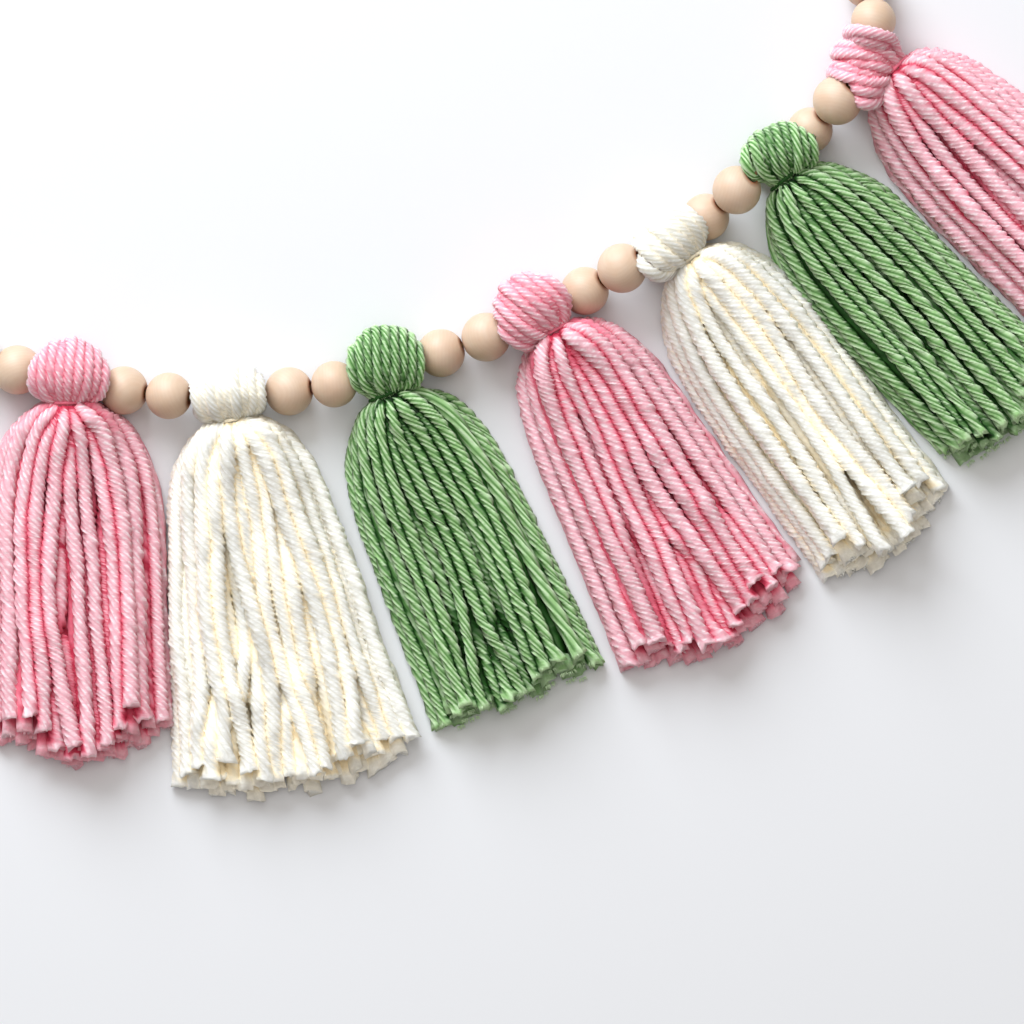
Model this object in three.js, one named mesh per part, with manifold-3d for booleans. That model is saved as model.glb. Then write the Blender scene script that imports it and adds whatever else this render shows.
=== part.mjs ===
// A garland of round wooden beads and yarn tassels on one string, lying flat on a table.
// Millimetres. +Z is up from the table, +X runs along the garland and the skirts point to -Y.
import * as THREE from 'three';
import { mergeVertices } from 'three/addons/utils/BufferGeometryUtils.js';
import Module from 'manifold-3d';

const wasm = await Module();
wasm.setup();

// Driving sizes
const GAP = 0.3; // between pieces that touch
const FLAT_SIDES = 0.6; // how much a faceted ball falls short of a round one, at most
const STRING_THICKNESS = 1.6;
const STRING_SIDES = 6;
const STRING_STEPS = 64;
const BEND_REACH = 0.4; // how far a bend of the string keeps its direction, against its length
const KNOT_ACROSS = 5.4;
const KNOT_FROM_BEAD = 10.4; // from the end bead's centre to the knot's centre
const TAIL = 14; // cut end of the string past its knot
const STRING_LIFT = 0.2; // of the knots and the cut ends, over the table
const BEAD_BORE = 4.2;
const BEAD_SIDES = 12;
const BEAD_RINGS = 5; // facets from one bore rim to the other
const HEAD_SIDES = 14;
const HEAD_RINGS = 8;
const HEAD_HALF_HEIGHT = 12.2;
const HEAD_CENTRE_HEIGHT = 11.8; // a little less, so that the head has a flat spot on the table
const NECK_HEIGHT = 11;
const NECK_RADIUS = 6.4;
const NECK_LENGTH = 5;
const NECK_SIDES = 12;
const ROOT_WIDTH = 0.9; // how much of the neck's radius the strands' roots fill, sideways
const ROOT_HEIGHT = 0.8; // and up and down
const TIE_THICKNESS = 1.3;
const TIE_SIDES = 4;
const STRAND_GAP = 0.5; // between strands, or less where they crowd together at the neck
const CROWDED_GAP = 0.4; // most of a crowded strand's own width that its gap takes
const CROWDED_HEADROOM = 0.25; // most of its height
const STRAND_HEAP = 950; // cross-section of a skirt's strands and the air between them, in mm2
const CROWN_MOST = 19.5; // highest that a skirt stands
const SHOULDER_RUN = 38; // length over which a skirt opens out to its full width
const SHOULDER_AT = 33; // distance from the neck of the widths that REACH gives below the shoulder
const LANDING_RUN = 26; // length over which the underside comes down to the table
const FAN_START = 1.4; // the strands lie together up to here
const SHORTENED_BY = 4; // most that one cut end falls short of its neighbours

const COLOURS = {
  wood: '#e8d2b6',
  string: '#efe6d6',
  pink: '#eda5b4',
  cream: '#f7f3e6',
  green: '#6da865',
};

// The beads in the order they are strung: the centre, and the diameter. A pair's second bead
// rides higher where its neighbours leave no room beside it.
const BEADS = [
  { x: -176.0, y: 53.6, z: 8.0, across: 15.9 },
  { x: -161.5, y: 46.4, z: 8.1, across: 16.1 },
  { x: -126.7, y: 39.7, z: 7.9, across: 15.8 },
  { x: -112.0, y: 37.9, z: 12.0, across: 15.2 },
  { x: -72.8, y: 39.4, z: 7.9, across: 15.8 },
  { x: -58.0, y: 41.7, z: 11.1, across: 15.2 },
  { x: -23.2, y: 51.9, z: 7.9, across: 15.7 },
  { x: -8.5, y: 57.1, z: 9.9, across: 16.0 },
  { x: 23.8, y: 72.2, z: 7.9, across: 15.7 },
  { x: 35.9, y: 79.5, z: 15.0, across: 16.2 },
  { x: 63.3, y: 96.3, z: 7.7, across: 15.4 },
  { x: 73.3, y: 105.0, z: 16.0, across: 15.9 },
  { x: 97.3, y: 124.7, z: 7.5, across: 14.9 },
  { x: 106.1, y: 134.2, z: 15.8, across: 16.1 },
  { x: 117.9, y: 160.2, z: 15.9, across: 14.6 },
  { x: 115.6, y: 172.4, z: 7.8, across: 15.4 },
];

// The tassels in the same order, each after two beads. The neck and head centres lie on the
// table's plan; turn is the skirt's direction from straight down; wide and long are the head's
// half sizes; length runs from the neck to the middle of the hem, and corner is the hem's length
// at its two corners against the middle.
const TASSELS = [
  { colour: 'pink', neckX: -145.0, neckY: 35.6, headX: -144.3, headY: 46.6, wide: 13.9, long: 11.0,
    turn: 1.8, length: 117.5, corner: 0.9 },
  { colour: 'cream', neckX: -91.4, neckY: 30.0, headX: -92.6, headY: 39.0, wide: 12.7, long: 9.1,
    turn: 10.9, length: 122.0, corner: 0.93 },
  { colour: 'green', neckX: -40.5, neckY: 38.5, headX: -41.1, headY: 50.3, wide: 12.9, long: 11.9,
    turn: 23.2, length: 110.5, corner: 0.97 },
  { colour: 'pink', neckX: 14.0, neckY: 59.4, headX: 4.9, headY: 66.9, wide: 13.4, long: 11.8,
    turn: 28.8, length: 117.0, corner: 0.92 },
  { colour: 'cream', neckX: 58.5, neckY: 82.9, headX: 50.8, headY: 89.2, wide: 12.7, long: 9.9,
    turn: 35.2, length: 117.5, corner: 0.92 },
  { colour: 'green', neckX: 89.6, neckY: 109.1, headX: 87.5, headY: 118.2, wide: 12.6, long: 9.3,
    turn: 41.4, length: 112.5, corner: 0.93 },
  { colour: 'pink', neckX: 124.4, neckY: 144.3, headX: 113.7, headY: 145.8, wide: 13.9, long: 10.9,
    turn: 45.0, length: 116.0, corner: 0.92 },
];

// How far each skirt reaches to its left and right, below the shoulder and at the hem
const REACH = [
  { shoulderLeft: 29.2, shoulderRight: 30.2, hemLeft: 30.8, hemRight: 31.0 },
  { shoulderLeft: 26.2, shoulderRight: 27.2, hemLeft: 41.4, hemRight: 42.2 },
  { shoulderLeft: 26.2, shoulderRight: 27.2, hemLeft: 29.6, hemRight: 30.6 },
  { shoulderLeft: 25.0, shoulderRight: 26.2, hemLeft: 35.6, hemRight: 34.8 },
  { shoulderLeft: 25.2, shoulderRight: 25.2, hemLeft: 23.8, hemRight: 24.8 },
  { shoulderLeft: 20.0, shoulderRight: 25.0, hemLeft: 20.2, hemRight: 28.0 },
  { shoulderLeft: 26.6, shoulderRight: 24.4, hemLeft: 26.4, hemRight: 28.8 },
];

// The layers of a skirt from the table up: the strands side by side in each, how wide it lies
// against the widest, at the neck and further down, and how much shorter it is cut.
const LAYERS = [
  { strands: 11, neckShare: 0.72, share: 1.0, shorter: 0 },
  { strands: 9, neckShare: 1.0, share: 0.92, shorter: 1 },
  { strands: 7, neckShare: 1.0, share: 0.78, shorter: 2.5 },
  { strands: 5, neckShare: 0.72, share: 0.57, shorter: 5 },
];

// Distances from the neck at which a strand bends, before its cut end
const BENDS = [1.1, 4, 10, 20, 40];

const mix = (a, b, t) => a + (b - a) * t;
const clamp = THREE.MathUtils.clamp;

// Solid booleans

function toSolid(geometry) {
  const bare = geometry.clone();
  bare.deleteAttribute('normal');
  bare.deleteAttribute('uv');
  const merged = mergeVertices(bare, 1e-4);
  return new wasm.Manifold(new wasm.Mesh({
    numProp: 3,
    vertProperties: new Float32Array(merged.attributes.position.array),
    triVerts: new Uint32Array(merged.index.array),
  }));
}

function toGeometry(solid) {
  const mesh = solid.getMesh();
  const geometry = new THREE.BufferGeometry();
  geometry.setAttribute('position', new THREE.BufferAttribute(new Float32Array(mesh.vertProperties), 3));
  geometry.setIndex(new THREE.BufferAttribute(new Uint32Array(mesh.triVerts), 1));
  geometry.computeVertexNormals();
  return geometry;
}

function named(name, geometry, colour, roughness) {
  const material = new THREE.MeshStandardMaterial({ color: COLOURS[colour], roughness, metalness: 0 });
  const mesh = new THREE.Mesh(geometry, material);
  mesh.name = name;
  return mesh;
}

// The string's route: straight through each pair of beads, bending inside the heads between
// them, with a knot and a cut tail past each end bead

const centreOf = (bead) => new THREE.Vector3(bead.x, bead.y, bead.z);

// A pair's straight run: its direction, and where it goes into the first bead and out of the last.
function pairRun(index) {
  const first = centreOf(BEADS[index]);
  const last = centreOf(BEADS[index + 1]);
  const along = last.clone().sub(first).normalize();
  return {
    along,
    from: first.clone().addScaledVector(along, -BEADS[index].across / 2),
    to: last.clone().addScaledVector(along, BEADS[index + 1].across / 2),
  };
}

// The knot against the end bead, and the cut end lying on the table beyond it.
function tailPoints(bead, away) {
  const knot = centreOf(bead).addScaledVector(away, KNOT_FROM_BEAD);
  knot.z = Math.max(knot.z, KNOT_ACROSS / 2 + STRING_LIFT);
  const flat = away.clone().setZ(0).normalize();
  const end = knot.clone().addScaledVector(flat, TAIL).setZ(STRING_THICKNESS / 2 + STRING_LIFT);
  return { knot, end };
}

// A bend from one point and direction to the next point and direction.
function bend(from, along, to, onward) {
  const reach = BEND_REACH * from.distanceTo(to);
  return new THREE.CubicBezierCurve3(
    from,
    from.clone().addScaledVector(along, reach),
    to.clone().addScaledVector(onward, -reach),
    to,
  );
}

const runs = [];
for (let i = 0; i < BEADS.length; i += 2) runs.push(pairRun(i));
const firstTail = tailPoints(BEADS[0], runs[0].along.clone().negate());
const lastTail = tailPoints(BEADS.at(-1), runs.at(-1).along);
const level = (from, to) => to.clone().sub(from).setZ(0).normalize();

const route = new THREE.CurvePath();
route.add(bend(firstTail.end, level(firstTail.end, firstTail.knot), firstTail.knot, runs[0].along));
route.add(new THREE.LineCurve3(firstTail.knot, runs[0].to));
for (let i = 1; i < runs.length; i += 1) {
  route.add(bend(runs[i - 1].to, runs[i - 1].along, runs[i].from, runs[i].along));
  route.add(new THREE.LineCurve3(runs[i].from, i === runs.length - 1 ? lastTail.knot : runs[i].to));
}
route.add(bend(lastTail.knot, runs.at(-1).along, lastTail.end, level(lastTail.knot, lastTail.end)));

// A tube of the given radius along the whole route.
function tubeAlongRoute(radius) {
  const section = new THREE.Shape();
  for (let side = 0; side < STRING_SIDES; side += 1) {
    const angle = (side / STRING_SIDES) * 2 * Math.PI;
    const x = radius * Math.cos(angle);
    const y = radius * Math.sin(angle);
    if (side === 0) section.moveTo(x, y);
    else section.lineTo(x, y);
  }
  return new THREE.ExtrudeGeometry(section, { steps: STRING_STEPS, extrudePath: route, bevelEnabled: false });
}

function makeString() {
  let solid = toSolid(tubeAlongRoute(STRING_THICKNESS / 2));
  for (const { knot } of [firstTail, lastTail]) {
    const ball = new THREE.SphereGeometry(KNOT_ACROSS / 2, 8, 5);
    ball.translate(knot.x, knot.y, knot.z);
    solid = solid.add(toSolid(ball));
  }
  return named('string', toGeometry(solid), 'string', 0.9);
}

// A bead: a ball cut off where its bore comes out, turned about the bore.
function makeBead(bead, index) {
  const radius = bead.across / 2;
  const bore = BEAD_BORE / 2;
  const rimAngle = Math.asin(bore / radius);
  const profile = [];
  for (let ring = 0; ring <= BEAD_RINGS; ring += 1) {
    const angle = mix(Math.PI - rimAngle, rimAngle, ring / BEAD_RINGS);
    profile.push(new THREE.Vector2(radius * Math.sin(angle), radius * Math.cos(angle)));
  }
  profile.push(profile[0].clone());
  const mesh = named(
    `bead_${String(index + 1).padStart(2, '0')}`,
    new THREE.LatheGeometry(profile, BEAD_SIDES),
    'wood',
    0.6,
  );
  mesh.position.copy(centreOf(bead));
  mesh.quaternion.setFromUnitVectors(new THREE.Vector3(0, 1, 0), runs[Math.floor(index / 2)].along);
  return mesh;
}

// The skirt, in the tassel's own frame: the neck stands over the origin, the strands run to -Y

// How far the strands have opened out, from 0 at the neck to 1, along a quarter ellipse.
function opening(distance, run) {
  const left = 1 - clamp((distance - FAN_START) / run, 0, 1);
  return Math.sqrt(1 - left * left);
}

function halfWidth(tassel, side, distance) {
  const down = clamp((distance - SHOULDER_AT) / (tassel.length - SHOULDER_AT), 0, 1);
  const reach = REACH[TASSELS.indexOf(tassel)];
  if (side < 0) return mix(reach.shoulderLeft, reach.hemLeft, down);
  return mix(reach.shoulderRight, reach.hemRight, down);
}

function crownHeight(tassel, distance) {
  const across = halfWidth(tassel, -1, distance) + halfWidth(tassel, 1, distance);
  return Math.min(CROWN_MOST, STRAND_HEAP / across);
}

// A point of the skirt. Across runs from -1 to 1 in its layer, up from 0 on the table to 1.
function skirtPoint(tassel, layer, across, up, distance) {
  const open = opening(distance, SHOULDER_RUN);
  const landed = opening(distance, LANDING_RUN);
  const rootHalf = NECK_RADIUS * ROOT_WIDTH * layer.neckShare;
  const half = mix(rootHalf, halfWidth(tassel, across, distance) * layer.share, open);
  const bottom = mix(NECK_HEIGHT - NECK_RADIUS * ROOT_HEIGHT, 0, landed);
  const top = mix(NECK_HEIGHT + NECK_RADIUS * ROOT_HEIGHT, crownHeight(tassel, distance), open);
  return new THREE.Vector3(across * half, -distance, mix(bottom, top, up));
}

// An uneven value from 0 to 1 for each strand, the same every time.
function unevenness(index, layerIndex, turn) {
  return 0.5 + 0.5 * Math.sin(2.4 * index + 1.7 * layerIndex + turn);
}

// One strand: a three-sided bar, flat side down, bent to the skirt's shape at each bend.
function makeStrand(tassel, layerIndex, index) {
  const layer = LAYERS[layerIndex];
  const from = (2 * index) / layer.strands - 1;
  const to = (2 * index + 2) / layer.strands - 1;
  const middle = (from + to) / 2;
  const hem = tassel.length * mix(1, tassel.corner, middle * middle);
  const bends = [...BENDS, hem - layer.shorter - SHORTENED_BY * unevenness(index, layerIndex, tassel.turn)];
  const bar = new THREE.ExtrudeGeometry(
    new THREE.Shape([new THREE.Vector2(0, 0), new THREE.Vector2(1, 0), new THREE.Vector2(0.5, 1)]),
    { depth: bends.length - 1, steps: bends.length - 1, bevelEnabled: false },
  );
  const corner = bar.attributes.position;
  for (let i = 0; i < corner.count; i += 1) {
    const distance = bends[Math.round(corner.getZ(i))];
    const up = (layerIndex + corner.getY(i)) / LAYERS.length;
    const low = skirtPoint(tassel, layer, from, up, distance);
    const high = skirtPoint(tassel, layer, to, up, distance);
    const gap = Math.min(STRAND_GAP, CROWDED_GAP * (high.x - low.x)) / 2;
    const x = mix(low.x + gap, high.x - gap, corner.getX(i));
    const floor = skirtPoint(tassel, layer, from, layerIndex / LAYERS.length, distance);
    const headroom = Math.min(STRAND_GAP, CROWDED_HEADROOM * (low.z - floor.z));
    corner.setXYZ(i, x, low.y, low.z - headroom);
  }
  return bar;
}

// The head: the yarn's loops over the string, pressed into a ball with a flat spot on the table.
function makeHead(tassel, headFromNeck) {
  const ball = new THREE.SphereGeometry(1, HEAD_SIDES, HEAD_RINGS);
  ball.scale(tassel.wide, tassel.long, HEAD_HALF_HEIGHT);
  ball.rotateZ(Math.atan2(-headFromNeck.x, headFromNeck.y));
  ball.translate(headFromNeck.x, headFromNeck.y, HEAD_CENTRE_HEIGHT);
  const point = ball.attributes.position;
  for (let i = 0; i < point.count; i += 1) point.setZ(i, Math.max(0, point.getZ(i)));
  return ball;
}

function makeNeck() {
  const neck = new THREE.CylinderGeometry(NECK_RADIUS, NECK_RADIUS, NECK_LENGTH, NECK_SIDES);
  neck.translate(0, 0, NECK_HEIGHT);
  return neck;
}

// A ring of yarn round the neck: the tie, or with some clearance the groove that it lies in.
function neckRing(clearance) {
  const thick = TIE_THICKNESS / 2;
  const ring = new THREE.TorusGeometry(NECK_RADIUS + GAP + thick, thick + clearance, TIE_SIDES, NECK_SIDES);
  ring.rotateX(Math.PI / 2);
  ring.translate(0, 0, NECK_HEIGHT);
  return ring;
}

// What the head leaves free: the string's channel, and a dimple round each bead beside it.
function roomForNeighbours(index) {
  let room = toSolid(tubeAlongRoute(STRING_THICKNESS / 2 + 1.5 * GAP));
  for (const bead of [BEADS[2 * index + 1], BEADS[2 * index + 2]]) {
    const dimple = new THREE.SphereGeometry(bead.across / 2 + GAP + FLAT_SIDES, 11, 7);
    dimple.rotateX(Math.PI / 2);
    dimple.translate(bead.x, bead.y, bead.z);
    room = room.add(toSolid(dimple));
  }
  return room;
}

function makeTassel(tassel, index) {
  const frame = new THREE.Group();
  frame.position.set(tassel.neckX, tassel.neckY, 0);
  frame.rotation.z = THREE.MathUtils.degToRad(tassel.turn);
  frame.updateMatrixWorld(true);
  const toFrame = frame.matrixWorld.clone().invert();
  const headFromNeck = new THREE.Vector3(tassel.headX, tassel.headY, 0).applyMatrix4(toFrame);

  const head = toSolid(makeHead(tassel, headFromNeck)).subtract(toSolid(neckRing(1.5 * GAP)));
  let solid = head.add(toSolid(makeNeck()));
  LAYERS.forEach((layer, layerIndex) => {
    for (let i = 0; i < layer.strands; i += 1) {
      solid = solid.add(toSolid(makeStrand(tassel, layerIndex, i)));
    }
  });
  solid = solid.subtract(roomForNeighbours(index).transform(toFrame.elements));

  frame.add(named(`tassel_${index + 1}`, toGeometry(solid), tassel.colour, 0.95));
  frame.add(named(`tie_${index + 1}`, neckRing(0), tassel.colour, 0.95));
  return frame;
}

// The whole garland, with its origin on the table under the middle of its outline

const garland = new THREE.Group();
garland.add(makeString());
BEADS.forEach((bead, index) => garland.add(makeBead(bead, index)));
TASSELS.forEach((tassel, index) => garland.add(makeTassel(tassel, index)));

const outline = new THREE.Box3().setFromObject(garland, true);
const middle = outline.getCenter(new THREE.Vector3());
garland.position.set(-middle.x, -middle.y, -outline.min.z);

export default garland;
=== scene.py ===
import math
import bpy
import numpy as np
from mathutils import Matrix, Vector


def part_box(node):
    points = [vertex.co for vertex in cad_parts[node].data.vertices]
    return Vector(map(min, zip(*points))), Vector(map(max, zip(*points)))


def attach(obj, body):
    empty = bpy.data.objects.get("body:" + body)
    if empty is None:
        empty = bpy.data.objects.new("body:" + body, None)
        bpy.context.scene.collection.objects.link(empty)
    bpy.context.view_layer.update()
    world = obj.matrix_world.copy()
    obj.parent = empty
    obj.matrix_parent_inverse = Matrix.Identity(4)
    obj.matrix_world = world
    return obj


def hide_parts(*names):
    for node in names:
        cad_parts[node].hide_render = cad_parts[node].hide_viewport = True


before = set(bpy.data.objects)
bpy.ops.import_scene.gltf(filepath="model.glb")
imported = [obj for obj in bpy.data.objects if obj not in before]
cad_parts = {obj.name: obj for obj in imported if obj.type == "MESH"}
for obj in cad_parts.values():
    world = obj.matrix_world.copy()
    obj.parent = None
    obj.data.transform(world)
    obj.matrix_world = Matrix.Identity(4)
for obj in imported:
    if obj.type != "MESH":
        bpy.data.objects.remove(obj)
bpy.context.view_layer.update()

# The string. A thin twisted cotton string, unbleached, that carries the whole garland. It runs straight
# through the two beads of each pair and bends inside the tassel heads, and at each end it is tied in a
# knot against the last bead, with a short cut tail that lies on the table.
MM = 0.001
PAIRS = 8
STRING_RADIUS = 0.8 * MM
STRING_LIFT = 0.2 * MM  # of the knots and tails over the table
KNOT_RADIUS = 2.7 * MM
KNOT_FROM_BEAD = 10.4 * MM
TAIL = 14 * MM
BEND_REACH = 0.3  # how far a bend keeps its direction, against its length
STRING_RINGS = 700
KNOT_TURNS = 3
KNOT_LENGTH = 3.2  # mm
KNOT_RINGS = 220
HEAD_STRING_HEIGHT = 10 * MM  # of the string inside a tassel's head
# How a yarn is made: its plies and the points across each, the length of one turn in mm, how deep the valleys
# between plies are and how far they are filled where it is pressed, how uneven and knobbly it is, and its
# height against its width.
STRING = {"plies": 3, "per_ply": 4, "pitch": 4.5, "relief": 0.2, "pressed": 0.0,
          "uneven": 0.03, "knobbly": 0.0, "flat": 1.0}


def linear(colour):
    """The linear colour, with alpha 1, of an sRGB hex value."""
    parts = [int(colour[i:i + 2], 16) / 255 for i in (1, 3, 5)]
    return [c / 12.92 if c <= 0.04045 else ((c + 0.055) / 1.055) ** 2.4 for c in parts] + [1.0]


def add(tree, kind, settings=None, **links):
    """Adds a node. Settings are its properties; links are its sockets by name, a value or another socket.
    A socket whose name is shared by several is given by its number, as in_0."""
    made = tree.nodes.new(kind)
    for name, value in (settings or {}).items():
        setattr(made, name, value)
    for name, value in links.items():
        numbered = name.startswith("in_")
        socket = made.inputs[int(name[3:]) if numbered else name.replace("_", " ")]
        if isinstance(value, bpy.types.NodeSocket):
            tree.links.new(value, socket)
        else:
            socket.default_value = value
    return made


def unit(vectors):
    """The vectors at length 1."""
    return vectors / np.maximum(np.linalg.norm(vectors, axis=-1, keepdims=True), 1e-12)


def smooth(low, high, value):
    """Runs from 0 to 1 as the value goes from low to high, level at both ends."""
    t = np.clip((value - low) / (high - low), 0, 1)
    return t * t * (3 - 2 * t)


def along_line(lines, count):
    """Lines of evenly spaced points through the given ones. The curve between two points is a cubic whose
    direction at each is that from the point before it to the one after it. It is first taken finely and
    then cut into equal lengths."""
    steps = lines.shape[-2] - 1
    fine = np.linspace(0, steps, steps * 8 + 1)
    at = np.minimum(fine.astype(int), steps - 1)
    t = (fine - at)[:, None]
    longer = np.concatenate([2 * lines[..., :1, :] - lines[..., 1:2, :], lines,
                             2 * lines[..., -1:, :] - lines[..., -2:-1, :]], axis=-2)
    p = [longer[..., at + i, :] for i in range(4)]
    curve = 0.5 * (2 * p[1] + (p[2] - p[0]) * t + (2 * p[0] - 5 * p[1] + 4 * p[2] - p[3]) * t ** 2
                   + (3 * (p[1] - p[2]) + p[3] - p[0]) * t ** 3)
    lengths = np.linalg.norm(np.diff(curve, axis=-2), axis=-1)
    travelled = np.concatenate([np.zeros(lengths.shape[:-1] + (1,)), np.cumsum(lengths, axis=-1)], axis=-1)
    flat, far = curve.reshape(-1, curve.shape[-2], 3), travelled.reshape(-1, curve.shape[-2])
    even = [[np.interp(np.linspace(0, d[-1], count), d, c[:, axis]) for axis in range(3)]
            for c, d in zip(flat, far)]
    return np.moveaxis(np.array(even), 1, 2).reshape(lines.shape[:-2] + (count, 3))


def wander(rng, curves, count, bends):
    """Smooth uneven curves from -1 to 1, with the given number of bends."""
    heights = rng.uniform(-1, 1, (curves, bends + 1))
    at = np.linspace(0, bends, count)
    low = np.minimum(at.astype(int), bends - 1)
    t = smooth(0, 1, at - low)
    return heights[:, low] * (1 - t) + heights[:, low + 1] * t


# How a strand strays from even spinning, and how its cut end loosens
PITCH_SPREAD = 0.15
TWIST_WANDER = 1.3  # in radians
PLY_SLIDE = 3.0  # round the strand, in radians to 1 of unevenness
UNTWISTED = 5 * MM  # length over which a cut end loosens
LOOSENING = 0.45
PLY_ENDS = 0.45  # how far plies end before or after each other, against the strand's radius
PLY_BELLY = 0.15  # how much further a ply's crest reaches
CUT_RINGS = ((1, 1.0), (2, 0.7), (3, 0.3))  # rings counted from the cut end, and how far each frays
# Crest values at a cut end and its tip: how much painted highlight they take, with no painted valley shade
CUT_CREST = 0.6
TIP_CREST = 0.5


def plied(lines, radius, yarn, phase, upright, rng, fray=0.0):
    """Strands of plied yarn along lines (strand, ring, 3). A ring's point at the angle a stands off the line
    by radius * (1 - relief * (1 - |sin(plies * a / 2)|)), so each ply is a rounded lobe between two sharp
    valleys, and the rings turn by a full turn in each pitch of length, so that the columns of points follow
    the plies. The section is flattened by its flat factor, and pressed fills the valleys on top and below.
    Lobes, twist and pitch are a little uneven and knobbly, as spun yarn is. With a fray, the last of a cut
    end is twisted less, and each ply ends at its own length, a little aside."""
    plies, per_ply = yarn["plies"], yarn["per_ply"]
    strands, rings = lines.shape[:2]
    columns = plies * per_ply
    tangent = unit(np.gradient(lines, axis=1))
    side = unit(np.cross(tangent, upright))
    up = np.cross(side, tangent)
    step = np.linalg.norm(lines[:, 1] - lines[:, 0], axis=-1)
    travelled = step[:, None] * np.arange(rings)
    bends = max(2, int(step.mean() * rings / (yarn["pitch"] * MM)))
    uneven = wander(rng, strands * plies, rings, bends).reshape(strands, plies, rings)
    ply_of = np.arange(columns) // per_ply
    uneven = uneven.transpose(0, 2, 1)[:, :, ply_of]
    lobe = np.abs(np.sin(np.pi * np.arange(columns) / per_ply))
    twisted = travelled
    if fray:
        near_end = np.maximum(travelled - travelled[:, -1:] + UNTWISTED, 0)
        twisted = travelled - LOOSENING * near_end ** 2 / UNTWISTED
    rate = 2 * np.pi / (yarn["pitch"] * MM) * rng.uniform(1 - PITCH_SPREAD, 1 + PITCH_SPREAD, (strands, 1))
    twist = rate * twisted + TWIST_WANDER * wander(rng, strands, rings, bends // 2 + 1)
    angle = 2 * np.pi * np.arange(columns) / columns + (twist + phase[:, None])[..., None]
    angle = angle + PLY_SLIDE * yarn["uneven"] * np.roll(uneven, 1, axis=2)
    valley = (1 - lobe) * (1 - yarn["pressed"] * np.sin(angle) ** 2)
    knobs = rng.uniform(-1, 1, (strands, rings, plies))
    knobs = ((knobs + np.roll(knobs, 1, axis=1)) / 2)[:, :, ply_of]
    section = 1 - yarn["relief"] * valley + (yarn["uneven"] * uneven + yarn["knobbly"] * knobs) * lobe
    off = (np.cos(angle)[..., None] * side[:, :, None] / yarn["flat"]
           + np.sin(angle)[..., None] * up[:, :, None] * yarn["flat"])
    points = lines[:, :, None] + off * (radius[..., None] * section)[..., None]
    # Crest runs from 0 in a ply's valley to 1 on its crest; the material paints shade in the valleys and
    # highlights on the crests from it
    crest = (1 - valley) * (1 - yarn["knobbly"] * (1 - knobs))
    if fray:
        longer = rng.uniform(-PLY_ENDS, PLY_ENDS, (strands, plies))[:, ply_of] + PLY_BELLY * lobe
        longer = longer * radius[:, -1:]
        wider = rng.uniform(-0.5 * fray, fray, (strands, plies))[:, ply_of] * radius[:, -1:]
        for back, share in CUT_RINGS:
            moved = tangent[:, -back, None] * longer[..., None] + off[:, -back] * wider[..., None]
            points[:, -back] += share * moved
            crest[:, -back] = crest[:, -back] * (1 - share) + CUT_CREST * share
        points[..., 2] = np.maximum(points[..., 2], 0.0)
    tips = lines[:, [0, -1]].copy()
    cloud = np.concatenate([points.reshape(strands, -1, 3), tips], axis=1)
    ring, column = np.meshgrid(np.arange(rings - 1), np.arange(columns), indexing="ij")
    down = (ring[..., None] + [0, 0, 1, 1]).reshape(-1, 4)
    across = (column[..., None] + [0, 1, 1, 0]).reshape(-1, 4)
    quads = down * columns + across % columns
    c = np.arange(columns)
    last = (rings - 1) * columns
    caps = np.concatenate([
        np.stack([np.full(columns, rings * columns), (c + 1) % columns, c], axis=-1),
        np.stack([np.full(columns, rings * columns + 1), last + c, last + (c + 1) % columns], axis=-1)])
    start = (np.arange(strands) * cloud.shape[1])[:, None, None]
    shift = 7.0 * np.arange(strands)[:, None, None]  # so that no two strands have the same fibres
    uv = np.stack([across / per_ply + shift, down * step[:, None, None] / MM], axis=-1)
    cap_uv = np.zeros((strands, 2 * columns, 3, 2)) + shift[..., None]
    crest = np.concatenate([crest.reshape(strands, -1), np.full((strands, 2), TIP_CREST)], axis=1)
    # Each strand's own value from 0 to 1, scrambled from its phase
    tone = np.repeat((np.sin(phase * 12.9) * 43758.5 % 1)[:, None], cloud.shape[1], axis=1)
    return {"points": cloud.reshape(-1, 3), "quads": (quads[None] + start).reshape(-1, 4),
            "quad_uv": uv.reshape(-1, 4, 2), "tris": (caps[None] + start).reshape(-1, 3),
            "tri_uv": cap_uv.reshape(-1, 3, 2),
            "values": {"crest": crest.ravel(), "tone": tone.ravel(), "crevice": np.zeros(crest.size)}}


def joined(shapes):
    """Several shapes as one."""
    starts = np.cumsum([0] + [len(s["points"]) for s in shapes[:-1]])
    whole = {key: np.concatenate([s[key] for s in shapes]) for key in ("points", "quad_uv", "tri_uv")}
    for key in ("quads", "tris"):
        whole[key] = np.concatenate([s[key] + n for s, n in zip(shapes, starts)])
    whole["values"] = {k: np.concatenate([s["values"][k] for s in shapes]) for k in shapes[0]["values"]}
    return whole


def put_in_scene(name, data):
    """A new object for a mesh, camera or light."""
    made = bpy.data.objects.new(name, data)
    bpy.context.scene.collection.objects.link(made)
    return made


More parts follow.
